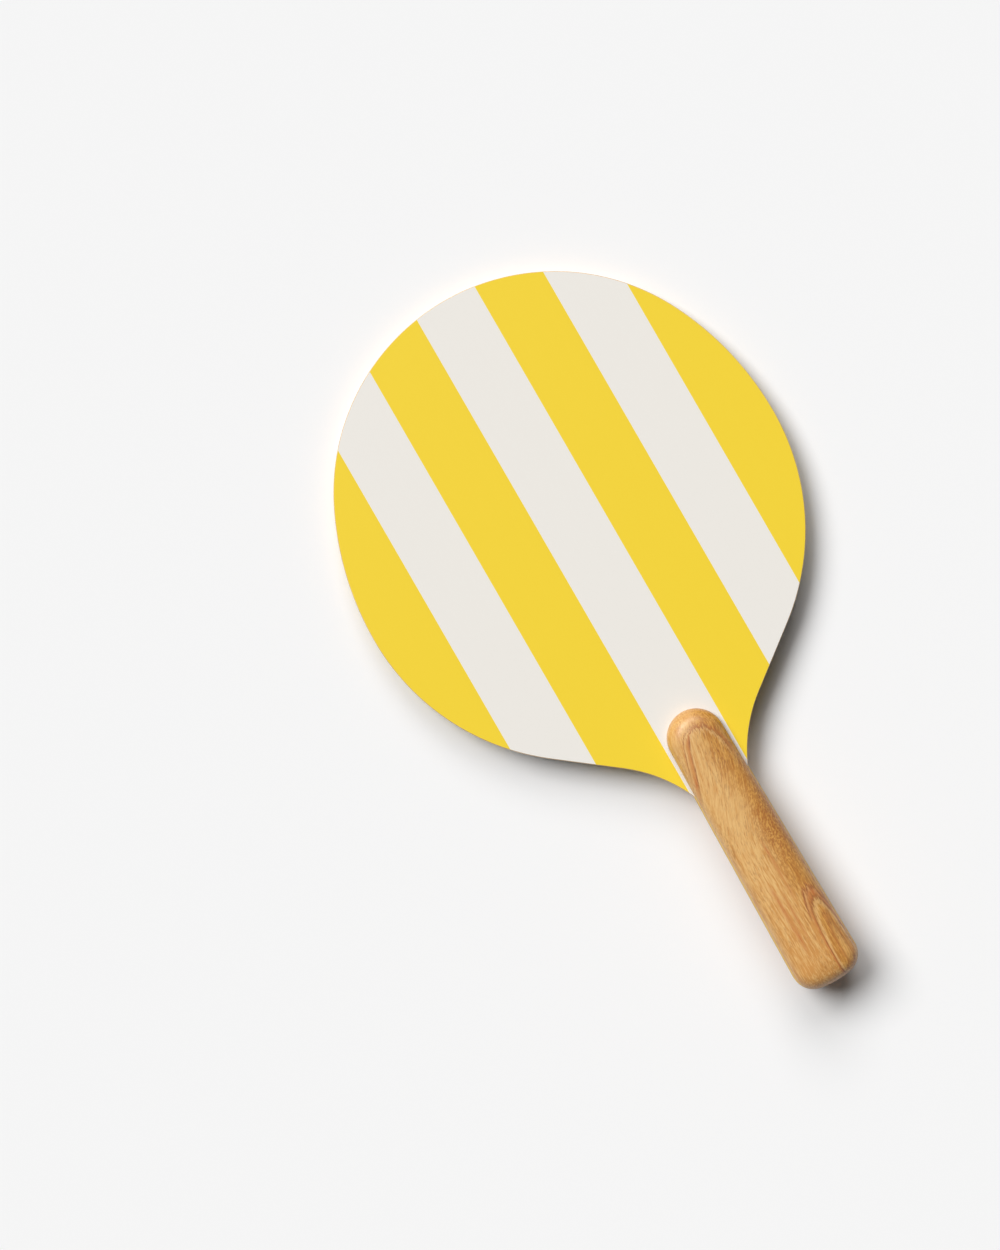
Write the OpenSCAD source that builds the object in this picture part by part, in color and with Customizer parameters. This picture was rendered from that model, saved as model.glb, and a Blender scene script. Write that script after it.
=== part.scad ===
// Striped wooden beach racket: a five-ply blade with a tang, printed on both faces,
// and a rounded grip made of two halves glued to the tang.
// Lengths are millimetres. +Y runs from the butt to the tip and +Z out of the front face.
// The origin is under the middle of the racket, level with the crown of the back grip half.

/* [Blade outline] */
// Greatest width of the blade
blade_w = 235; // [200:1:270]
// Radius of the crown over half the blade's width, where 1 would be a round head
crown_share = 0.96; // [0.9:0.01:0.99]
// Radius of the flanks over half the blade's width
flank_share = 1.33; // [1.15:0.01:1.6]
// Radius of the shoulders over half the blade's width
shoulder_share = 1.04; // [0.9:0.01:1.1]
// Turn of each shoulder, from the widest point to the straight above the neck, in degrees
shoulder_turn = 52.5; // [46:0.5:58]
// Radius of the hollow neck beside the grip
neck_r = 78; // [50:1:100]
// Angle at which the neck runs into the tang, in degrees
neck_kink = 24; // [15:0.5:32]
// Radius of the eased rim on both faces of the blade
rim_ease = 0.3; // [0.2:0.1:0.9]

/* [Plywood] */
// Thickness of each face veneer
face_ply = 1.2; // [1:0.1:2]
// Thickness of each crossband
cross_ply = 1.4; // [1:0.1:2.5]
// Thickness of the core veneer
core_ply = 1.3; // [1:0.1:3]

/* [Stripes] */
// Number of stripes across the head, with a white one in the middle
stripe_count = 7; // [3:4:11]
// Distance that the outer stripes would reach past the widest point
stripe_over = 1.5; // [0:0.5:5]
// Thickness of the printed paint
print_t = 0.1; // [0.05:0.01:0.2]

/* [Grip] */
// Length of each grip half
grip_l = 157.5; // [120:0.5:190]
// Distance that the grip's nose reaches over the blade, past the neck
nose_lap = 40.5; // [25:0.5:70]
// Width of the grip at its round nose
nose_w = 30; // [24:0.2:36]
// Width of the grip at its butt
butt_w = 35; // [30:0.2:42]
// Radius of the butt's corners, seen from the front
butt_corner_r = 11; // [9:0.5:14]
// Radius of the butt's slightly bowed end
butt_bow_r = 50; // [35:1:90]
// Thickness of each grip half, from the glue to its crown
half_t = 10.6; // [9.8:0.1:14]
// Radius of the round-over along the grip's edges
round_r = 8.5; // [5:0.5:9]
// Rise of the crowned top, from the round-over to the middle
crown_h = 0.8; // [0.3:0.1:1.2]
// Width of the tang that shows beside each grip half
tang_ledge = 0.5; // [0.2:0.1:1.2]
// Thickness of the glue between the bare board and each grip half
glue_t = 0.2; // [0.1:0.05:0.4]
// Distance from the grip's edge to the edge of the glue
glue_back = 0.3; // [0.1:0.1:1]

/* [Hidden] */

yellow_paint = [0.95, 0.82, 0.27];
white_paint = [0.93, 0.91, 0.88];
pale_veneer = [0.86, 0.73, 0.54];
dark_veneer = [0.76, 0.61, 0.42];
golden_wood = [0.84, 0.66, 0.41];
dried_glue = [0.80, 0.72, 0.50];

// One straight piece of an arc turns at most this far, in degrees
arc_step = 3;
nose_step = 6;
corner_step = 9;
// Rings of the eased rim, of the grip's round-over and of its crowned top
ease_rings = 3;
round_rings = 8;
crown_rings = 3;
// The round-over stops here, in degrees, where the crown takes over
round_turn = 80;
// Share of the crown's width that stays flat, along the middle line
crown_flat = 0.12;

// Heights, counted outwards from the middle of the plywood
core_top = core_ply / 2;
cross_top = core_top + cross_ply;
board_top = cross_top + face_ply;
glue_top = board_top + glue_t;
mid_z = glue_top + half_t;

// Outline of the head: three arcs on each side, tangent to each other
half_w = blade_w / 2;
crown_r = crown_share * half_w;
flank_r = flank_share * half_w;
shoulder_r = shoulder_share * half_w;
crown_turn = asin((flank_r - half_w) / (flank_r - crown_r));
widest_s = crown_r + (flank_r - crown_r) * cos(crown_turn);

// Side of the grip: the line that touches the nose's circle and a butt corner's circle
nose_r = nose_w / 2;
corner_x = butt_w / 2 - butt_corner_r;
bow_half = asin(corner_x / (butt_bow_r - butt_corner_r));
corner_rise = butt_bow_r - (butt_bow_r - butt_corner_r) * cos(bow_half);
side_run = grip_l - nose_r - corner_rise;
side_tilt = atan2(corner_x, side_run)
  + asin((butt_corner_r - nose_r) / norm([corner_x, side_run]));

// The neck ends where it meets the tang, one lap behind the grip's nose
neck_x = ((nose_lap - nose_r) * sin(side_tilt) + nose_r + tang_ledge) / cos(side_tilt);
neck_straight = (half_w - shoulder_r + shoulder_r * cos(shoulder_turn)
  - neck_r * (cos(neck_kink) - cos(shoulder_turn)) - neck_x) / sin(shoulder_turn);
neck_s = widest_s + shoulder_r * sin(shoulder_turn) + neck_straight * cos(shoulder_turn)
  + neck_r * (sin(shoulder_turn) - sin(neck_kink));

// Places along the racket
racket_l = neck_s + grip_l - nose_lap + tang_ledge;
tip_y = racket_l / 2;
neck_y = tip_y - neck_s;
nose_y = neck_y + nose_lap;
butt_y = nose_y - grip_l;

crown_at = [0, tip_y - crown_r];
flank_at = [half_w - flank_r, tip_y - widest_s];
shoulder_at = [half_w - shoulder_r, tip_y - widest_s];
neck_at = [neck_x + neck_r * cos(neck_kink), neck_y - neck_r * sin(neck_kink)];
nose_at = [0, nose_y - nose_r];
corner_at = [corner_x, butt_y + corner_rise];
bow_at = [0, butt_y + butt_bow_r];

stripe_w = (blade_w + 2 * stripe_over) / stripe_count;

function steps(turn, step) = max(2, ceil(abs(turn) / step));

// Points on an arc from angle a to angle b; its last point is left to the next arc where skip is 1
function arc(at, r, a, b, n, skip = 0) =
  [for (k = [0 : n - skip]) let (t = a + (b - a) * k / n) at + r * [cos(t), sin(t)]];

// A closed ring from its right half, which starts and ends on the middle line
function both_sides(right) =
  concat(right, [for (k = [len(right) - 2 : -1 : 1]) [-right[k].x, right[k].y]]);

// Butt corner and half of the bowed end, drawn in from the grip's edge by inset
function butt_points(inset) = concat(
  arc(corner_at, butt_corner_r - inset, side_tilt, bow_half - 90,
      steps(90 + side_tilt - bow_half, corner_step), 1),
  arc(bow_at, butt_bow_r - inset, bow_half - 90, -90, 2)
);

// Outline of a grip half, drawn in from its edge by inset
function grip_ring(inset) = both_sides(concat(
  arc(nose_at, nose_r - inset, 90, side_tilt, steps(90 - side_tilt, nose_step)),
  butt_points(inset)
));

// Angle on the neck's circle at which it meets the tang, for an outline drawn in by inset
function neck_end(inset) =
  let (side = [cos(side_tilt), sin(side_tilt)])
  side_tilt + acos((side * (nose_at - neck_at) + nose_r + tang_ledge - inset) / (neck_r + inset));

// Outline of the blade and its tang, drawn in from the rim by inset
function board_ring(inset) = both_sides(concat(
  arc(crown_at, crown_r - inset, 90, 90 - crown_turn, steps(crown_turn, arc_step), 1),
  arc(flank_at, flank_r - inset, 90 - crown_turn, 0, steps(90 - crown_turn, arc_step), 1),
  arc(shoulder_at, shoulder_r - inset, 0, -shoulder_turn, steps(shoulder_turn, arc_step)),
  arc(neck_at, neck_r + inset, 180 - shoulder_turn, neck_end(inset),
      steps(shoulder_turn - neck_kink, arc_step)),
  butt_points(inset - tang_ledge)
));

function lift(ring, z) = [for (p = ring) [p.x, p.y, z]];

// Solid between rings of equal length, from the lowest to the highest
module loft(rings) {
  n = len(rings[0]);
  top = len(rings) - 1;
  polyhedron(
    points = [for (ring = rings) each ring],
    faces = concat(
      [[for (i = [n - 1 : -1 : 0]) i]],
      [[for (i = [0 : n - 1]) top * n + i]],
      [for (k = [0 : top - 1]) for (i = [0 : n - 1])
        let (j = (i + 1) % n) each [
          [k * n + i, k * n + j, (k + 1) * n + j],
          [k * n + i, (k + 1) * n + j, (k + 1) * n + i]
        ]]
    )
  );
}

module on_front() translate([0, 0, mid_z]) children();
module on_back() translate([0, 0, mid_z]) mirror([0, 0, 1]) children();

// Flat sheet with the blade's outline, between two heights
module sheet(low, high) translate([0, 0, low]) linear_extrude(high - low) polygon(board_ring(0));

module crossband() color(dark_veneer) sheet(core_top, cross_top);

module face_veneer()
  color(pale_veneer) loft(concat(
    [lift(board_ring(0), cross_top)],
    [for (k = [0 : ease_rings]) let (a = 90 * k / ease_rings)
      lift(board_ring(rim_ease * (1 - cos(a))), board_top - rim_ease * (1 - sin(a)))]
  ));

// Every second stripe across the head, from the neck to the tip, where stripe 0 is on the middle line
module stripe_bars(first)
  for (i = [first : 2 : (stripe_count - 1) / 2]) for (x = i == 0 ? [0] : [-i * stripe_w, i * stripe_w])
    translate([x - stripe_w / 2, neck_y]) square([stripe_w, neck_s]);

// Print over the given shapes, inside the eased rim and around the bare wood that the grip is glued to
module print_layer()
  translate([0, 0, board_top]) linear_extrude(print_t) difference() {
    intersection() {
      polygon(board_ring(rim_ease));
      union() children();
    }
    polygon(grip_ring(0));
  }

module white_stripes() color(white_paint) print_layer() stripe_bars(0);

// The yellow also runs on down the tang, below the white stripe in the middle
module yellow_stripes()
  color(yellow_paint) print_layer() {
    stripe_bars(1);
    translate([-half_w, -racket_l / 2]) square([blade_w, racket_l - neck_s]);
  }

module glue_film()
  color(dried_glue) translate([0, 0, board_top]) linear_extrude(glue_t) polygon(grip_ring(glue_back));

// One ring of the crowned top, a share of the way from the round-over to the middle line
function crown_ring(edge, share) =
  let (high = nose_at.y, low = butt_y + butt_w / 2)
  [for (p = edge) let (spine = [0, min(max(p.y, low), high)]) p + share * (spine - p)];

module grip_half() {
  round_in = round_r * (1 - cos(round_turn));
  round_top = glue_top + half_t - crown_h;
  edge = grip_ring(round_in);
  color(golden_wood) loft(concat(
    [lift(grip_ring(0), glue_top)],
    [for (k = [0 : round_rings]) let (a = round_turn * k / round_rings)
      lift(grip_ring(round_r * (1 - cos(a))), round_top - round_r * (sin(round_turn) - sin(a)))],
    [for (k = [1 : crown_rings]) let (share = (1 - crown_flat) * k / crown_rings)
      lift(crown_ring(edge, share), round_top + crown_h * (1 - pow(1 - k / crown_rings, 2)))]
  ));
}

module core_veneer() color(pale_veneer) on_front() sheet(-core_top, core_top);
module front_crossband() on_front() crossband();
module back_crossband() on_back() crossband();
module front_face_veneer() on_front() face_veneer();
module back_face_veneer() on_back() face_veneer();
module front_white_stripes() on_front() white_stripes();
module back_white_stripes() on_back() white_stripes();
module front_yellow_stripes() on_front() yellow_stripes();
module back_yellow_stripes() on_back() yellow_stripes();
module front_glue_film() on_front() glue_film();
module back_glue_film() on_back() glue_film();
module front_grip_half() on_front() grip_half();
module back_grip_half() on_back() grip_half();

front_face_veneer();
front_crossband();
core_veneer();
back_crossband();
back_face_veneer();
front_white_stripes();
front_yellow_stripes();
back_white_stripes();
back_yellow_stripes();
front_glue_film();
back_glue_film();
front_grip_half();
back_grip_half();
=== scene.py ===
# %% [markdown]
# # A striped wooden beach racket
# The racket is a five-ply board, printed with yellow and white stripes on both faces, with a rounded
# wooden grip glued over its tang in two halves. The construction model gives the frame and every size.
# Here its plies and grip halves get smooth shapes, and every surface gets its finish.

# %% Load the construction model
import math
from collections import namedtuple

import bpy
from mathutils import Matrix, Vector


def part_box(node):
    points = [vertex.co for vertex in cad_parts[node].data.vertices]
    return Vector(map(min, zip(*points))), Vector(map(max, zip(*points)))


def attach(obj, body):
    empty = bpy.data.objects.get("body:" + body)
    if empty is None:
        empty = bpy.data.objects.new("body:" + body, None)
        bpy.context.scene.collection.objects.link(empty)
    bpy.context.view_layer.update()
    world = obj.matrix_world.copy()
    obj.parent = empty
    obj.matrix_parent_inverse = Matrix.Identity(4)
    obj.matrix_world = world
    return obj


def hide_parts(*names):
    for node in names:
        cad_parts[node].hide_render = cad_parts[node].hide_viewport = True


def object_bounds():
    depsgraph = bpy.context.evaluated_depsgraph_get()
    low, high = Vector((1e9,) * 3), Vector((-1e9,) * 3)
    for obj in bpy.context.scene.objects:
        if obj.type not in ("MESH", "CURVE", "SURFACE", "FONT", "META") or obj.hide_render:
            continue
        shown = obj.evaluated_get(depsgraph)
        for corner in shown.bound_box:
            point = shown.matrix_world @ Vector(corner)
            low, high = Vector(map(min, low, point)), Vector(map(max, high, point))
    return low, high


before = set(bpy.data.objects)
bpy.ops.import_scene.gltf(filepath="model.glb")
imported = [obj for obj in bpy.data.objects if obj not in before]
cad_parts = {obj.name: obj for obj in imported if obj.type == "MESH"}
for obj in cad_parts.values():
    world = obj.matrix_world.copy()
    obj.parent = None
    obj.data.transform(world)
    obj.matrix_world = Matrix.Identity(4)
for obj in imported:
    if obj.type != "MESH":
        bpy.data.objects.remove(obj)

cad_low, cad_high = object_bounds()
print("construction model from", list(cad_low), "to", list(cad_high))

# %% [markdown]
# ## Sizes
# The smooth pieces sit exactly where the construction model's pieces do. They could be traced from its
# meshes, but the real racket is drawn from a few sizes, and so are these pieces: arcs that touch each other
# make the head, and a hollow arc on each side makes the neck. Everything is in metres, as Blender has it,
# and `mm` keeps the numbers readable.

# %% Sizes of the board and the grip
mm = 0.001
half_w = 117.5 * mm
crown_r, flank_r, shoulder_r, neck_r = 0.96 * half_w, 1.33 * half_w, 1.04 * half_w, 78 * mm
shoulder_turn, neck_kink = math.radians(52.5), math.radians(24)
nose_r, corner_r, bow_r, butt_half_w = 15 * mm, 11 * mm, 50 * mm, 17.5 * mm
grip_l, nose_lap, ledge = 157.5 * mm, 40.5 * mm, 0.5 * mm
rim_ease = 0.3 * mm
print("head", round(2 * half_w / mm), "mm wide, grip", round(grip_l / mm, 1), "mm long")

# %% The grip's corners, and the lean of its sides
corner_x = butt_half_w - corner_r
bow_half = math.asin(corner_x / (bow_r - corner_r))
corner_rise = bow_r - (bow_r - corner_r) * math.cos(bow_half)
side_run = grip_l - nose_r - corner_rise
side_tilt = math.atan2(corner_x, side_run) + math.asin((corner_r - nose_r) / math.hypot(corner_x, side_run))
print("each side of the grip leans", round(math.degrees(side_tilt), 2), "degrees")

# %% The places along the racket, and the straight between the shoulder and the neck
crown_turn = math.asin((flank_r - half_w) / (flank_r - crown_r))
tip_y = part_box("core_veneer")[1].y
widest_y = tip_y - crown_r - (flank_r - crown_r) * math.cos(crown_turn)
butt_y = -tip_y + ledge
nose_y = butt_y + grip_l
neck_y = nose_y - nose_lap
neck_x = ((nose_lap - nose_r) * math.sin(side_tilt) + nose_r + ledge) / math.cos(side_tilt)
neck_run = (half_w - shoulder_r + shoulder_r * math.cos(shoulder_turn)
            - neck_r * (math.cos(neck_kink) - math.cos(shoulder_turn)) - neck_x) / math.sin(shoulder_turn)
print("tip, neck and butt at", [round(y / mm, 2) for y in (tip_y, neck_y, butt_y)], "mm")

# %% [markdown]
# ## Tools for the outlines
# Both outlines are lines and arcs that run into each other. They could be curves that are made a mesh, but
# a curve only comes close to an arc. By hand, it is one vertex that is spun about the centre of each arc and
# pushed along each straight, so that every corner lies on the true outline. One side is drawn from the far
# end to the butt, copied to the other side and filled with one face. The next cells hold these few moves.

# %% Select one object, and only that
def pick(piece):
    bpy.ops.object.select_all(action="DESELECT")
    piece.select_set(True)
    bpy.context.view_layer.objects.active = piece


# %% A new piece that is a single vertex
def start_at(name, x, y):
    bpy.ops.object.select_all(action="DESELECT")
    bpy.context.tool_settings.mesh_select_mode = (True, False, False)
    bpy.ops.mesh.primitive_plane_add(size=mm)
    piece = bpy.context.object
    piece.name = piece.data.name = name
    bpy.ops.object.mode_set(mode="EDIT")
    bpy.ops.mesh.select_all(action="SELECT")
    bpy.ops.mesh.merge(type="CENTER")
    bpy.ops.transform.translate(value=(x, y, 0))
    return piece


# %% Spin the last vertex clockwise about a centre, or push it to a point
def arc(x, y, turn, steps):
    bpy.ops.mesh.spin(steps=steps, angle=turn, center=(x, y, 0), axis=(0, 0, 1))


def line_to(piece, x, y, steps):
    piece.update_from_editmode()
    here = next(v.co for v in piece.data.vertices if v.select)
    move = Vector(((x - here.x) / steps, (y - here.y) / steps, 0))
    for _ in range(steps):
        bpy.ops.mesh.extrude_vertices_move(TRANSFORM_OT_translate={"value": move})


# %% Copy the drawn side to the left, join both and fill the outline
weld = 0.005 * mm


def close_outline(piece):
    bpy.ops.mesh.select_all(action="SELECT")
    bpy.ops.mesh.duplicate()
    bpy.ops.transform.resize(value=(-1, 1, 1), center_override=(0, 0, 0))
    bpy.ops.mesh.select_all(action="SELECT")
    bpy.ops.mesh.remove_doubles(threshold=weld)
    bpy.ops.mesh.edge_face_add()
    bpy.ops.mesh.normals_make_consistent(inside=False)
    bpy.ops.object.mode_set(mode="OBJECT")
    print(piece.name, "has", len(piece.data.vertices), "corners")


# %% [markdown]
# ## The five plies
# The board is five sheets of veneer, glued with the grain crossed and sawn to one outline. One thick board
# with lines painted round its rim would be quicker, but its joints would never catch the light. So the
# outline is drawn once, and each ply is its own copy of it, extruded to its thickness. The face plies have
# their outer edge eased, as a sander leaves it. The other edges are only just broken, which draws the thin
# dark glue lines between the plies.

# %% The board's outline
outline = start_at("board_outline", 0, tip_y)
arc(0, tip_y - crown_r, crown_turn, steps=42)
arc(half_w - flank_r, widest_y, math.pi / 2 - crown_turn, steps=18)
arc(half_w - shoulder_r, widest_y, shoulder_turn, steps=36)
outline.update_from_editmode()
turned = next(v.co.copy() for v in outline.data.vertices if v.select)
line_to(outline, turned.x - neck_run * math.sin(shoulder_turn),
        turned.y - neck_run * math.cos(shoulder_turn), steps=6)
arc(neck_x + neck_r * math.cos(neck_kink), neck_y - neck_r * math.sin(neck_kink),
    neck_kink - shoulder_turn, steps=20)

# %% Down the tang and round its end
tang_r = corner_r + ledge
line_to(outline, corner_x + tang_r * math.cos(side_tilt),
        butt_y + corner_rise + tang_r * math.sin(side_tilt), steps=12)
arc(corner_x, butt_y + corner_rise, math.pi / 2 + side_tilt - bow_half, steps=18)
arc(0, butt_y + bow_r, bow_half, steps=4)
close_outline(outline)


# %% One ply: a copy of the outline, extruded up from its lower glue line
def ply(name, low, thick):
    pick(outline)
    bpy.ops.object.duplicate()
    piece = bpy.context.object
    piece.name = piece.data.name = name
    bpy.ops.object.mode_set(mode="EDIT")
    bpy.ops.mesh.select_all(action="SELECT")
    bpy.ops.transform.translate(value=(0, 0, low))
    bpy.ops.mesh.extrude_region_move(TRANSFORM_OT_translate={"value": (0, 0, thick)})
    bpy.ops.mesh.select_all(action="SELECT")
    bpy.ops.mesh.normals_make_consistent(inside=False)
    return piece


# %% Select faces by what they look like
def choose(piece, wanted):
    bpy.ops.object.mode_set(mode="OBJECT")
    bpy.context.tool_settings.mesh_select_mode = (False, False, True)
    bpy.ops.object.mode_set(mode="EDIT")
    bpy.ops.mesh.select_all(action="DESELECT")
    bpy.ops.object.mode_set(mode="OBJECT")
    for face in piece.data.polygons:
        face.select = wanted(face)
    bpy.ops.object.mode_set(mode="EDIT")


# %% Ease the rim of the face that looks up or down, and keep its flat shading apart with a narrow margin
level, many_corners, margin = 0.99, 50, 0.1 * mm


def ease(piece, way, radius, steps):
    choose(piece, lambda face: face.normal.z * way > level)
    bpy.ops.mesh.bevel(offset=radius, offset_type="OFFSET", segments=steps, profile=0.5, affect="EDGES")
    choose(piece, lambda face: face.normal.z * way > level and len(face.vertices) > many_corners)
    bpy.ops.mesh.inset(thickness=margin)


# %% Finish a piece: outward faces, soft shading, its body, and its node of the construction model hidden
pieces = []
soft_angle = math.radians(34)


def finish_piece(piece, node):
    bpy.ops.object.mode_set(mode="EDIT")
    bpy.ops.mesh.select_all(action="SELECT")
    bpy.ops.mesh.normals_make_consistent(inside=False)
    bpy.ops.object.mode_set(mode="OBJECT")
    pick(piece)
    bpy.ops.object.transform_apply(location=True, rotation=True, scale=True)
    bpy.ops.object.shade_smooth_by_angle(angle=soft_angle)
    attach(piece, "root")
    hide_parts(node)
    pieces.append(piece)
    low, high = (Vector(f(v.co[i] for v in piece.data.vertices) for i in range(3)) for f in (min, max))
    print(piece.name, [round(a / mm, 2) for a in (*low, *high)], len(piece.data.polygons), "faces")


# %% The plies from the front face to the back face
broken_edge = 0.05 * mm
plies = [
    ("front_face_ply", "front_face_veneer", "pale_veneer"),
    ("front_cross_ply", "front_crossband", "dark_veneer"),
    ("core_ply", "core_veneer", "pale_veneer"),
    ("back_cross_ply", "back_crossband", "dark_veneer"),
    ("back_face_ply", "back_face_veneer", "pale_veneer"),
]
for name, node, slot in plies:
    low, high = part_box(node)
    sheet = ply(name, low.z, high.z - low.z)
    for way, outer_ply in ((1, "front_face_ply"), (-1, "back_face_ply")):
        if name == outer_ply:
            ease(sheet, way, rim_ease, steps=5)
        else:
            ease(sheet, way, broken_edge, steps=1)
    finish_piece(sheet, node)
pick(outline)
bpy.ops.object.delete()

# %% [markdown]
# ## The grip
# Each grip half is a strip of hardwood with a full round nose, sides that spread a little towards the butt,
# and two round corners there. A router rounds its upper edge over, and the top is sanded to a slight crown.
# A bevel could round the edge, but it turns a full right angle, and here the crown takes over ten degrees
# before that. So the outline is drawn and pushed up to the round-over, and the top face is inset again and
# again, each time a little in and a little up. That draws a round-over which keeps its shape at the nose and
# the corners.

# %% The front half's outline
half = start_at("front_grip", 0, nose_y)
arc(0, nose_y - nose_r, math.pi / 2 - side_tilt, steps=32)
line_to(half, corner_x + corner_r * math.cos(side_tilt),
        butt_y + corner_rise + corner_r * math.sin(side_tilt), steps=24)
arc(corner_x, butt_y + corner_rise, math.pi / 2 + side_tilt - bow_half, steps=20)
arc(0, butt_y + bow_r, bow_half, steps=5)
close_outline(half)

# %% Push it up to where the round-over starts
round_r, round_turn, crown_h = 8.5 * mm, math.radians(80), 0.8 * mm
low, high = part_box("front_grip_half")
upright = high.z - low.z - crown_h - round_r * math.sin(round_turn)
pick(half)
bpy.ops.object.mode_set(mode="EDIT")
bpy.ops.mesh.select_all(action="SELECT")
bpy.ops.transform.translate(value=(0, 0, low.z))
bpy.ops.mesh.extrude_region_move(TRANSFORM_OT_translate={"value": (0, 0, upright)})
print("upright edge", round(upright / mm, 2), "mm high")

# %% The round-over, as a row of insets that follow a quarter circle
round_steps, hair = 14, 0.01 * mm
choose(half, lambda face: face.center.z > low.z + upright - hair and len(face.vertices) > many_corners)
for k in range(round_steps):
    a, b = round_turn * k / round_steps, round_turn * (k + 1) / round_steps
    bpy.ops.mesh.inset(thickness=round_r * (math.cos(a) - math.cos(b)),
                       depth=round_r * (math.sin(b) - math.sin(a)))
print("round-over of", round_steps, "steps")

# %% The crown: the top drawn in towards the middle line while it rises, in ever flatter steps
crown_steps, drawn_in = 6, 0.88
both_round_overs = 14 * mm
top_half_w, top_half_l = 8.0 * mm, (grip_l - both_round_overs) / 2
for k in range(crown_steps):
    before, after = (drawn_in * i / crown_steps for i in (k, k + 1))
    rise = crown_h * ((1 - k / crown_steps) ** 2 - (1 - (k + 1) / crown_steps) ** 2)
    bpy.ops.mesh.extrude_region_move(TRANSFORM_OT_translate={"value": (0, 0, rise)})
    narrower = (1 - after) / (1 - before)
    shorter = (top_half_l - top_half_w * after) / (top_half_l - top_half_w * before)
    bpy.ops.transform.resize(value=(narrower, shorter, 1), center_override=(0, (nose_y + butt_y) / 2, 0))
print("crown of", crown_steps, "steps,", round(crown_h / mm, 1), "mm high")

# %% A broken lower edge
lower_edge = 0.15 * mm
choose(half, lambda face: face.center.z < low.z + hair)
bpy.ops.mesh.bevel(offset=lower_edge, offset_type="OFFSET", segments=2, profile=0.5, affect="EDGES")
bpy.ops.object.mode_set(mode="OBJECT")

# %% The back half is a mirrored copy
pick(half)
bpy.ops.object.duplicate()
back_half = bpy.context.object
back_half.name = back_half.data.name = "back_grip"
bpy.ops.object.mode_set(mode="EDIT")
bpy.ops.mesh.select_all(action="SELECT")
bpy.ops.transform.resize(value=(1, 1, -1), center_override=(0, 0, (cad_low.z + cad_high.z) / 2))
finish_piece(half, "front_grip_half")
finish_piece(back_half, "back_grip_half")

# %% [markdown]
# ## Writing materials as sums
# A finish is worked out from the place on the piece: stretched noise for grain, soft bands for growth rings.
# Such nodes could be set one by one, but then the sum that they make can't be read. One small class wraps a
# node's output, so that the sum is written as Python. Any other node comes from its `node` method, which
# takes the type, the settings and the sockets.

# %% A node's output that Python can reckon with
class Wire:
    def __init__(self, socket):
        self.socket = socket

    def node(self, kind, settings=None, sockets=None, out=0):
        tree = self.socket.id_data
        made = tree.nodes.new(kind)
        for key, value in (settings or {}).items():
            setattr(made, key, value)
        for key, value in (sockets or {}).items():
            if isinstance(value, Wire):
                tree.links.new(value.socket, made.inputs[key])
            else:
                made.inputs[key].default_value = value
        return Wire(made.outputs[out])

    def maths(self, operation, first, second=0.0, third=0.0):
        return self.node("ShaderNodeMath", {"operation": operation}, {0: first, 1: second, 2: third})

    def __add__(self, other):
        return self.maths("ADD", self, other)

    def __sub__(self, other):
        return self.maths("SUBTRACT", self, other)

    def __rsub__(self, other):
        return self.maths("SUBTRACT", other, self)

    def __mul__(self, other):
        return self.maths("MULTIPLY", self, other)

    def __truediv__(self, other):
        return self.maths("DIVIDE", self, other)

    def __rtruediv__(self, other):
        return self.maths("DIVIDE", other, self)

    __radd__ = __add__
    __rmul__ = __mul__


# %% A soft step from 0 to 1, a soft line, and the larger of two values
def step(value, start, end):
    return value.node("ShaderNodeMapRange", {"interpolation_type": "SMOOTHSTEP"},
                      {"Value": value, "From Min": start, "From Max": end, "To Min": 0.0, "To Max": 1.0})


def line(value, width):
    share = value / width
    return value.maths("EXPONENT", share * share * -1)


def larger(one, other):
    return one.maths("MAXIMUM", one, other)


# %% A mix of two colours, which are the Mix node's inputs 6 and 7 and its output 2
def blend(factor, below, above):
    below, above = ((*c, 1) if isinstance(c, tuple) else c for c in (below, above))
    return factor.node("ShaderNodeMix", {"data_type": "RGBA"}, {0: factor, 6: below, 7: above}, out=2)


# %% Noise with its own scale along each axis, counted in patches per millimetre
def noise(place, across, along, deep, detail, shift):
    at = place.node("ShaderNodeMapping", None,
                    {"Vector": place, "Location": (shift, shift * 0.7, shift * 1.3),
                     "Scale": (across / mm, along / mm, deep / mm)})
    return at.node("ShaderNodeTexNoise", None,
                   {"Vector": at, "Scale": 1.0, "Detail": detail, "Roughness": 0.5})


# %% A new material, its shader and the place on the piece
def new_finish(name):
    finish = bpy.data.materials.new(name)
    finish.use_nodes = True
    shader = finish.node_tree.nodes["Principled BSDF"]
    place = finish.node_tree.nodes.new("ShaderNodeTexCoord")
    return finish, shader, Wire(place.outputs["Object"])


def connect(shader, **wires):
    for name, wire in wires.items():
        shader.id_data.links.new(wire.socket, shader.inputs[name.replace("_", " ")])


def bump(height, depth):
    return height.node("ShaderNodeBump", None, {"Height": height, "Distance": depth})


# %% A colour written as on a screen, from 0 to 255, as the linear light that Blender takes
def linear(*colour):
    return tuple((c / 255 / 12.92) if c <= 10 else ((c / 255 + 0.055) / 1.055) ** 2.4 for c in colour)


# %% Give a piece one finish, or put it on a node of the construction model
def dress(piece, finish):
    piece.data.materials.clear()
    piece.data.materials.append(finish)


def dress_node(node, finish):
    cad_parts[node].material_slots[0].material = finish


# %% [markdown]
# ## Printed paint
# The stripes are screen-printed ink on sanded veneer: an even satin colour, with the grain of the wood just
# telling through as long, very shallow ripples, and a trace of the screen's own fine texture. The stripes
# themselves are thin solids of the construction model, so no mask is needed, and each only gets its paint.

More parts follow.
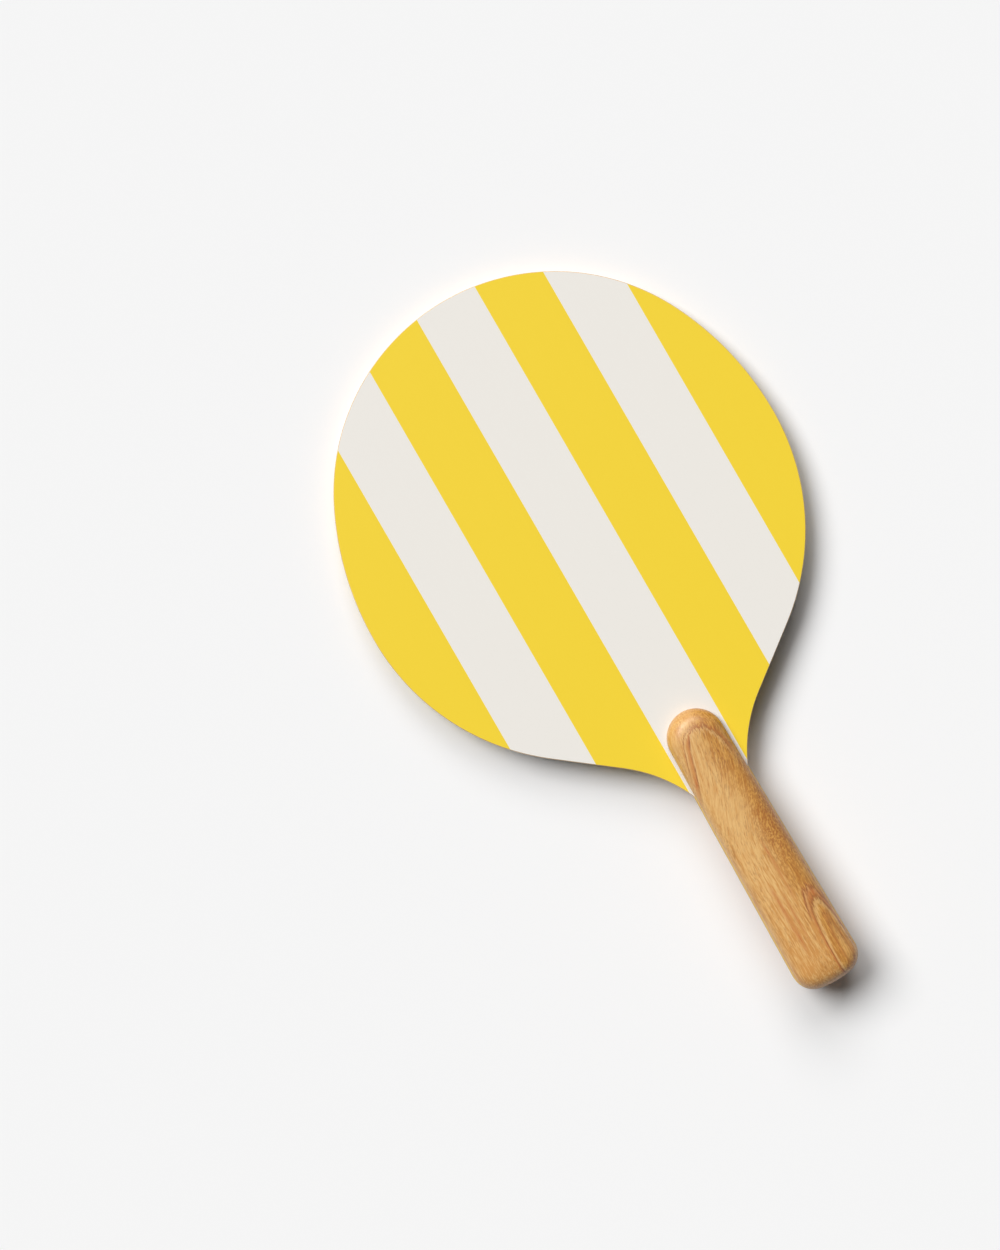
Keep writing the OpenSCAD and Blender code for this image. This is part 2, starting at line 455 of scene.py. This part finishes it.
# %% Paint in a given colour
def paint(name, colour, shift):
    finish, shader, place = new_finish(name)
    cloud = noise(place, 0.02, 0.014, 0.02, 2, shift)
    grain = noise(place, 1.1, 0.03, 1.1, 3, shift + 3)
    speck = noise(place, 3.5, 3.5, 3.5, 2, shift + 7)
    tone = (cloud - 0.5) * 0.045 + (grain - 0.5) * 0.035 + (speck - 0.5) * 0.02
    light, deep = tuple(min(1, c * 1.06) for c in colour), tuple(c * 0.9 for c in colour)
    shader.inputs["Specular IOR Level"].default_value = 0.35
    connect(shader, Base_Color=blend(tone + 0.6, deep, light),
            Roughness=0.42 + (speck - 0.5) * 0.12 + (grain - 0.5) * 0.08,
            Normal=bump(grain * 0.6 + speck * 0.4, 0.012 * mm))
    return finish


# %% Both paints, on both faces
yellow_paint = paint("satin yellow ink", linear(240, 208, 50), 1.0)
white_paint = paint("satin white ink", linear(234, 230, 223), 2.0)
for face in ("front", "back"):
    dress_node(face + "_yellow_stripes", yellow_paint)
    dress_node(face + "_white_stripes", white_paint)
print("painted with", yellow_paint.name, "and", white_paint.name)


# %% [markdown]
# ## Veneer and glue
# The rim is bare wood. A face ply shows long grain along the racket, and a crossband shows its fibres end on
# at the sides, so its colour is deeper and finely dotted. Both come from one recipe, because a crossband is
# the same sheet turned by a right angle: only the way that the noise is stretched differs. A film of dried
# glue lies in the joint between the tang and each half of the grip.

# %% Veneer whose grain runs along the racket or across it
def veneer(name, light, deep, crosswise, shift):
    finish, shader, place = new_finish(name)
    across, along = (0.05, 2.2) if crosswise else (2.2, 0.05)
    fibres = noise(place, across, along, 2.6, 4, shift)
    pores = step(noise(place, across * 2.2, along * 2.2, 5, 1, shift + 5), 0.6, 0.72)
    cloud = noise(place, 0.05, 0.05, 0.4, 2, shift + 9)
    body = blend(fibres * 0.7 + cloud * 0.5 - 0.1, deep, light)
    connect(shader, Base_Color=blend(pores * 0.35, body, tuple(c * 0.45 for c in deep)),
            Roughness=0.55 + (fibres - 0.5) * 0.2, Normal=bump(fibres - pores * 0.5, 0.04 * mm))
    return finish


# %% The five plies get their veneers
pale_long = veneer("pale face veneer", linear(226, 196, 148), linear(190, 150, 102), False, 11.0)
dark_cross = veneer("darker crossband veneer", linear(192, 150, 104), linear(142, 98, 60), True, 12.0)
for piece in pieces[:len(plies)]:
    dress(piece, dark_cross if "cross" in piece.name else pale_long)
    print(piece.name, "is", piece.data.materials[0].name)

# %% Dried glue, amber and a little uneven
glue, shader, place = new_finish("dried wood glue")
lumps = noise(place, 0.8, 0.35, 2.0, 3, 21.0)
shader.inputs["Specular IOR Level"].default_value = 0.5
connect(shader, Base_Color=blend(lumps, linear(168, 132, 78), linear(214, 184, 126)),
        Roughness=0.3 + lumps * 0.15, Normal=bump(lumps, 0.05 * mm))
for face in ("front", "back"):
    dress_node(face + "_glue_film", glue)
print("glue in both joints:", glue.name)


# %% [markdown]
# ## The grip's wood
# The grip is a golden hardwood with reddish growth lines. Blender's Wave texture draws such lines, but all
# of one kind and evenly spaced. A board that was sawn at a slight slope to the trunk shows its growth rings
# as nested arches instead, so each of them is worked out here as in the tree, as the distance to a line that
# runs off into the wood. Then it also goes on round the edges, as in a solid block.
#
# Lengths in this wood are in millimetres. The fibres lean to one side near the nose and run straight near
# the butt, as they do round a knot that was sawn away. So the place on the piece is sheared first, by each
# lean above the height where it starts, and all that follows is drawn as if the fibres ran straight.

# %% A spot in the wood: its place, its sideways place along the fibres, and its depth under the top
Spot = namedtuple("Spot", "place x y w depth grain")
lean_ease = 20.0


def find_spot(place, top, leans):
    x, y, z = (place.node("ShaderNodeSeparateXYZ", None, {0: place}, out=i) / mm for i in range(3))
    w = x
    for lean, start_y in leans:
        w = w - x.maths("SMOOTH_MAX", y - start_y, 0.0, lean_ease) * lean
    grain = w.node("ShaderNodeCombineXYZ", None, {0: w * mm, 1: y * mm, 2: z * mm})
    return Spot(place, x, y, w, x.maths("ABSOLUTE", z - top), grain)


# %% [markdown]
# ### Growth rings
# On the flat, a ring is an arch with a left and a right leg. A leg's `reach` is how far it ends up from the
# middle, `length` how slowly it gets there, `run` how far below the peak it can be followed, and `band` how
# wide its late wood is, which is the reddish wood that a tree adds at the end of summer. Late wood stops at a
# thin dark line on the inside of the arch, with the palest wood just inside that, and fades outwards.

# %% How a ring is written down: `late` and `dark` say how strong its late wood and its dark line are
Leg = namedtuple("Leg", "reach length run band")
Ring = namedtuple("Ring", "peak left right top_band late dark")


# %% How far a spot lies outside a ring and below its peak, the width of its band, and whether it runs there
leg_change, shift_with_depth = 4.0, 0.7


def ring_at(spot, y, peak_x, peak_y, left, right):
    side, below = spot.w - peak_x, peak_y - y
    rightwards = step(side, -leg_change, leg_change)
    reach, length, run, band = (rightwards * (b - a) + a for a, b in zip(left, right))
    across = side / reach
    rise = side.maths("EXPONENT", below / (length * -2)) + spot.depth * shift_with_depth / reach
    outside = (side.maths("SQRT", across * across + rise * rise) - 1) * reach
    return outside, below, band, 1 - step(below / run, 0.6, 1.1)


# %% All rings together. Near its peak a ring is torn more by the fibres, and has its own width of band
peak_length, line_w, pale_inside, pale_w = 9.0, 0.34, 0.85, 0.5


def growth_lines(spot, y, wobble, leans, rings):
    late = dark = pale = wobble * 0.0
    for ring in rings:
        peak_x, peak_y = ring.peak
        peak_x = peak_x - sum(lean * max(peak_y - start_y, 0) for lean, start_y in leans)
        outside, below, band, there = ring_at(spot, y, peak_x, peak_y, ring.left, ring.right)
        near_peak = below.maths("EXPONENT", larger(below, 0.0) / -peak_length)
        outside = outside + wobble * (near_peak * 0.55 + 0.45)
        band = band + (ring.top_band - band) * near_peak
        fade = step(outside, -0.4, 0.2) * (1 - step(outside / band, 0.3, 1.0))
        late = larger(late, fade * there * ring.late)
        dark = larger(dark, line(outside, line_w) * there * ring.dark)
        pale = larger(pale, line(outside + pale_inside, pale_w) * there * ring.dark)
    return late, dark, pale


# %% [markdown]
# ### Fibres and pores
# Wood is made of fibres in bundles, and bundles in streaks. One noise with much detail would make them all
# alike, so there are four, from coarse to fine, each stretched along the fibres by its own amount. The heart
# of the tree lay to one side of this board. There the wood is deeper in colour and more open, with a patch
# of fine dark specks. Pores are short dark dashes, which come and go in patches.

# %% Four sizes of fibre, each swinging about 0
Fibres = namedtuple("Fibres", "streaks bundles fibres threads")
fibre_sizes = Fibres((0.3, 0.02, 3), (0.72, 0.04, 3), (1.35, 0.11, 3), (3.2, 0.3, 2))


def lay_fibres(spot, shift):
    return Fibres(*(noise(spot.grain, across, along, across, detail, shift + i) - 0.5
                    for i, (across, along, detail) in enumerate(fibre_sizes)))


# %% The heart's side of the board, and the speckled patch in it
heart_edge, patch_l = 9.0, 26.0


def find_heart(spot, fibre, heart_way, patch_y, shift):
    cloud = noise(spot.place, 0.06, 0.03, 0.06, 2, shift + 4) - 0.5
    ragged = cloud * 12 + fibre.streaks * 10 + fibre.bundles * 6
    heart = step(spot.x * heart_way + ragged, 0.0, heart_edge)
    return heart, heart * line(spot.y - patch_y, patch_l)


# %% Pores, specks and the dots of fibres that are cut end on
def open_wood(spot, heart, patch, shift):
    groups = step(noise(spot.place, 0.13, 0.05, 0.13, 2, shift + 5), 0.3, 0.6)
    pores = step(noise(spot.grain, 1.9, 0.34, 1.9, 1, shift + 6), 0.54, 0.66) * groups * (heart * 0.4 + 0.55)
    specks = step(noise(spot.grain, 1.1, 0.75, 1.1, 2, shift + 7), 0.46, 0.58) * (patch + heart * 0.2)
    dots = step(noise(spot.place, 1.4, 0.6, 1.4, 2, shift + 8), 0.46, 0.62)
    cut_across = step(spot.y, butt_y / mm + 7, butt_y / mm + 0.5)
    return pores, specks, cut_across * (dots * 0.45 + 0.1)


# %% Reddish streaks between two heights, torn by the fibres
Streak = namedtuple("Streak", "x high_y low_y width")
streak_end = 8.0


def red_streaks(spot, fibre, wobble, streaks):
    red = wobble * 0.0
    for streak in streaks:
        above_low = step(spot.y, streak.low_y - streak_end, streak.low_y + streak_end)
        below_high = 1 - step(spot.y, streak.high_y - streak_end, streak.high_y + streak_end)
        beside = line(spot.x - streak.x + wobble, streak.width)
        torn = beside * (0.85 + fibre.fibres * 2.0 + fibre.threads * 2.0)
        red = larger(red, torn * above_low * below_high)
    return red


# %% [markdown]
# ### The colours of the wood
# The body is a mix of two golden browns, by how the fibres swing there. It is plain and calm in the middle
# and livelier in the heart and towards the butt. Over it come, in this order, the pale inner sides of the
# rings, the specks, the late wood, the dark lines, the pores and the dots at the butt end.

# %% The body of the wood, outside and inside the heart
def wood_body(spot, fibre, heart, patch):
    low = step(spot.y, -100.0, -140.0)
    coarse, fine = fibre.streaks * 1.3 + fibre.bundles * 2.3, fibre.fibres * 2.8 + fibre.threads * 2.0
    tone = coarse * (0.65 - low * 0.1 + heart * 0.35) + fine * (0.65 + low * 0.45 + heart * 0.3)
    tone = tone + line(spot.y + 98, 38.0) * 0.2 - step(spot.y, -130.0, -190.0) * 0.25 + 0.45
    inner = (fibre.bundles * 2.4 + fibre.fibres * 4.0 + fibre.threads * 2.8) * (1 - patch * 0.45)
    return blend(heart, blend(tone, linear(197, 138, 68), linear(222, 178, 112)),
                 blend(0.55 - patch * 0.1 + inner, linear(172, 111, 36), linear(208, 153, 74)))


# %% Wood for one grip half
def grip_wood(name, top, leans, rings, streaks, heart_way, patch_y, shift):
    finish, shader, place = new_finish(name)
    spot = find_spot(place, top, leans)
    fibre = lay_fibres(spot, shift)
    heart, patch = find_heart(spot, fibre, heart_way, patch_y, shift)
    pores, specks, end_grain = open_wood(spot, heart, patch, shift)
    wobble = fibre.streaks * 1.2 + fibre.bundles * 1.6 + fibre.fibres * 1.8 + fibre.threads * 0.9
    torn_y = spot.y + fibre.fibres * 5 + fibre.threads * 4
    late, dark, pale = growth_lines(spot, torn_y, wobble, leans, rings)
    late = larger(late, red_streaks(spot, fibre, wobble, streaks))

    body = wood_body(spot, fibre, heart, patch)
    body = blend(pale * 0.6, body, linear(228, 188, 128))
    body = blend(specks * 0.75, body, linear(158, 94, 32))
    body = blend(late * (0.75 + fibre.bundles * 2.0 + fibre.fibres * 2.0), body, linear(184, 108, 48))
    body = blend(dark * (0.8 + fibre.fibres * 2.5 + fibre.threads * 3.0), body, linear(138, 78, 34))
    body = blend(pores * 0.6, body, linear(134, 80, 34))
    body = blend(end_grain, body, linear(128, 80, 36))

    height = fibre.bundles * 0.3 + fibre.fibres * 0.6 + fibre.threads * 0.3 - pores * 0.4
    shader.inputs["Coat Roughness"].default_value = 0.26
    shader.inputs["Coat Weight"].default_value = 0.16
    connect(shader, Base_Color=body, Roughness=0.42 + fibre.fibres * 0.12 + pores * 0.1,
            Normal=bump(height, 0.12 * mm))
    return finish


# %% The front half: one broad arch at the nose with a second line outside it, and a narrow one at the butt
front_rings = [
    Ring((1.3, -51.3), Leg(5.6, 4.0, 38, 3.4), Leg(26.0, 30.0, 22, 2.2), top_band=0.8, late=0.9, dark=0.8),
    Ring((0.4, -49.6), Leg(7.6, 4.5, 28, 1.0), Leg(28.0, 30.0, 6, 1.0), top_band=0.5, late=0.4, dark=0.7),
    Ring((12.8, -152.2), Leg(7.9, 12.0, 90, 1.3), Leg(7.7, 12.0, 90, 1.3), top_band=3.1, late=0.85, dark=0.9),
    Ring((12.0, -147.0), Leg(8.4, 11.0, 20, 0.7), Leg(8.4, 11.0, 20, 0.7), top_band=0.9, late=0.7, dark=1.0),
    Ring((13.0, -161.0), Leg(3.0, 8.0, 40, 1.2), Leg(2.6, 8.0, 40, 1.2), top_band=1.2, late=0.4, dark=0.4),
]
front_streaks = [Streak(-5.4, -143, -177, 0.9), Streak(-1.8, -148, -172, 0.6), Streak(2.2, -120, -150, 0.6)]
front_leans = [(0.45, -115), (-0.2, -80)]
dress(half, grip_wood("golden grip wood, front", cad_high.z / mm, front_leans, front_rings, front_streaks,
                      heart_way=1.0, patch_y=-113.0, shift=31.0))
print(half.name, "has", len(front_rings), "rings")

# %% The back half, from the next piece of the same board
back_rings = [
    Ring((-3, -63), Leg(12.0, 12.0, 40, 2.0), Leg(7.0, 5.0, 60, 2.4), top_band=1.0, late=0.8, dark=0.7),
    Ring((-2, -124), Leg(6.5, 14.0, 110, 1.8), Leg(7.5, 16.0, 110, 1.8), top_band=2.4, late=0.9, dark=0.6),
    Ring((-1.5, -141), Leg(3.5, 10.0, 90, 1.4), Leg(3.5, 10.0, 90, 1.4), top_band=1.2, late=0.5, dark=0.3),
]
back_streaks = [Streak(8.0, -100, -140, 1.0), Streak(-9.0, -120, -165, 0.9)]
back_leans = [(-0.16, -92)]
dress(back_half, grip_wood("golden grip wood, back", cad_low.z / mm, back_leans, back_rings, back_streaks,
                           heart_way=-1.0, patch_y=-160.0, shift=47.0))
print(back_half.name, "has", len(back_rings), "rings")

# %% [markdown]
# ## The floor
# The racket lies on its back on a sheet of white paper. It touches the paper with the crown of its back grip
# half and with the lower edge of its tip, so the sheet slopes a little against the board. The slope could be
# typed in, but it is measured on the pieces, so that they neither float nor sink.

# %% The sheet, laid against the two places where the racket touches it
printed_back = [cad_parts[name] for name in ("back_white_stripes", "back_yellow_stripes")]
points = [v.co for o in [*pieces, *printed_back] for v in o.data.vertices]
first_slope, tip_end, paper_size, clearance = 0.042, 150 * mm, 30, 0.02 * mm
tip = min((p for p in points if p.y > tip_end), key=lambda p: p.z - first_slope * p.y)
slope = max((tip.z - p.z) / (tip.y - p.y) for p in points if p.y < 0)
bpy.ops.object.select_all(action="DESELECT")
bpy.ops.mesh.primitive_plane_add(size=paper_size, location=(0, 0, tip.z - slope * tip.y - clearance),
                                 rotation=(math.atan(slope), 0, 0))
floor = bpy.context.object
floor.name = "paper_floor"
print("floor slopes", round(math.degrees(math.atan(slope)), 2), "degrees")

# %% [markdown]
# The paper can't be seen from below, so that views from there show the back of the racket. It also lets the
# weak light from below pass, but only on its way to what the camera sees directly. Light that has already
# bounced off something white or coloured finds the paper closed, or it would tint the shadows.

# %% White paper
paper, shader, place = new_finish("white paper")
shader.inputs["Base Color"].default_value = (*linear(249, 249, 249), 1)
shader.inputs["Roughness"].default_value = 1.0
shader.inputs["Specular IOR Level"].default_value = 0.0
camera_ray, shadow_ray, bounces = (place.node("ShaderNodeLightPath", out=name)
                                   for name in ("Is Camera Ray", "Is Shadow Ray", "Diffuse Depth"))
from_below = place.node("ShaderNodeNewGeometry", out="Backfacing") * camera_ray
not_bounced = 1 - bounces.maths("MINIMUM", bounces, 1.0)
open_share = larger(from_below, shadow_ray * not_bounced)
clear = place.node("ShaderNodeBsdfTransparent")
mixed = place.node("ShaderNodeMixShader", None, {0: open_share, 1: Wire(shader.outputs[0]), 2: clear})
paper.node_tree.links.new(mixed.socket, paper.node_tree.nodes["Material Output"].inputs["Surface"])
floor.data.materials.append(paper)
print("floor of", paper.name)

# %% [markdown]
# ## The light
# In the photograph the shadows fall to the right and down, with soft edges: two large lights stand side by
# side, the stronger one to the upper left and the weaker one above. Area lamps would light the near end of
# the racket more than the far end, so both are suns with a wide angle. A white room fills in a little, and is
# seen at full strength only by the camera and in reflections. A weak light from below makes the back visible.

# %% The room
room = bpy.data.worlds.new("bright room")
room.use_nodes = True
bpy.context.scene.world = room
air = room.node_tree.nodes["Background"]
fill, background = 0.06, 0.925
seen = Wire(room.node_tree.nodes.new("ShaderNodeLightPath").outputs["Is Camera Ray"])
for name in ("Is Glossy Ray", "Is Transmission Ray"):
    seen = larger(seen, seen.node("ShaderNodeLightPath", out=name))
air.inputs["Color"].default_value = (1, 1, 1, 1)
room.node_tree.links.new((fill + seen * (background - fill)).socket, air.inputs["Strength"])
print("room fills with", fill, "and is seen at", background)

# %% Two soft lights from above, and a weak one from below: strength, angle in degrees, and where each stands
lamps = {
    "softbox_left": (2.78, 34, (-0.302, 0.567, 0.766)),
    "softbox_top": (1.265, 34, (0.270, 0.705, 0.656)),
    "underside_glow": (0.8, 60, (0.0, 0.0, -1.0)),
}
for name, (strength, angle, direction) in lamps.items():
    bpy.ops.object.light_add(type="SUN")
    lamp = bpy.context.object
    lamp.name = name
    lamp.data.energy = strength
    lamp.data.angle = math.radians(angle)
    lamp.rotation_euler = Vector(direction).to_track_quat("Z", "Y").to_euler()
print("lamps:", list(lamps))

# %% [markdown]
# ## The camera
# The photograph is taken from straight above, with the racket leaning to the left. The camera looks
# straight down on the board and is turned instead of the racket, which stays in its own frame. It stands
# 1.6 m up, where the perspective is as slight as in the photograph, and its lens follows from that height
# and from the size that a pixel of the photograph has on the blade.

# %% The camera, straight above the board
lean, px = math.radians(29.96), 0.50955 * mm
picture_w, picture_h, racket_x, racket_y = 1000, 1250, 640.2, 640.7
camera_height, sensor = 1.6, 36
right, up = Vector((math.cos(lean), -math.sin(lean), 0)), Vector((math.sin(lean), math.cos(lean), 0))
centre = (picture_w / 2 - racket_x) * px * right + (racket_y - picture_h / 2) * px * up
board_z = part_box("front_white_stripes")[1].z
bpy.ops.object.camera_add(location=centre + Vector((0, 0, board_z + camera_height)), rotation=(0, 0, -lean))
camera = bpy.context.object
camera.data.sensor_width = sensor
camera.data.lens = sensor * camera_height / (picture_h * px)
bpy.context.scene.camera = camera
bpy.context.scene.view_settings.view_transform = "Standard"
print("camera above", [round(a, 4) for a in camera.location], "lens", round(camera.data.lens, 1), "mm")
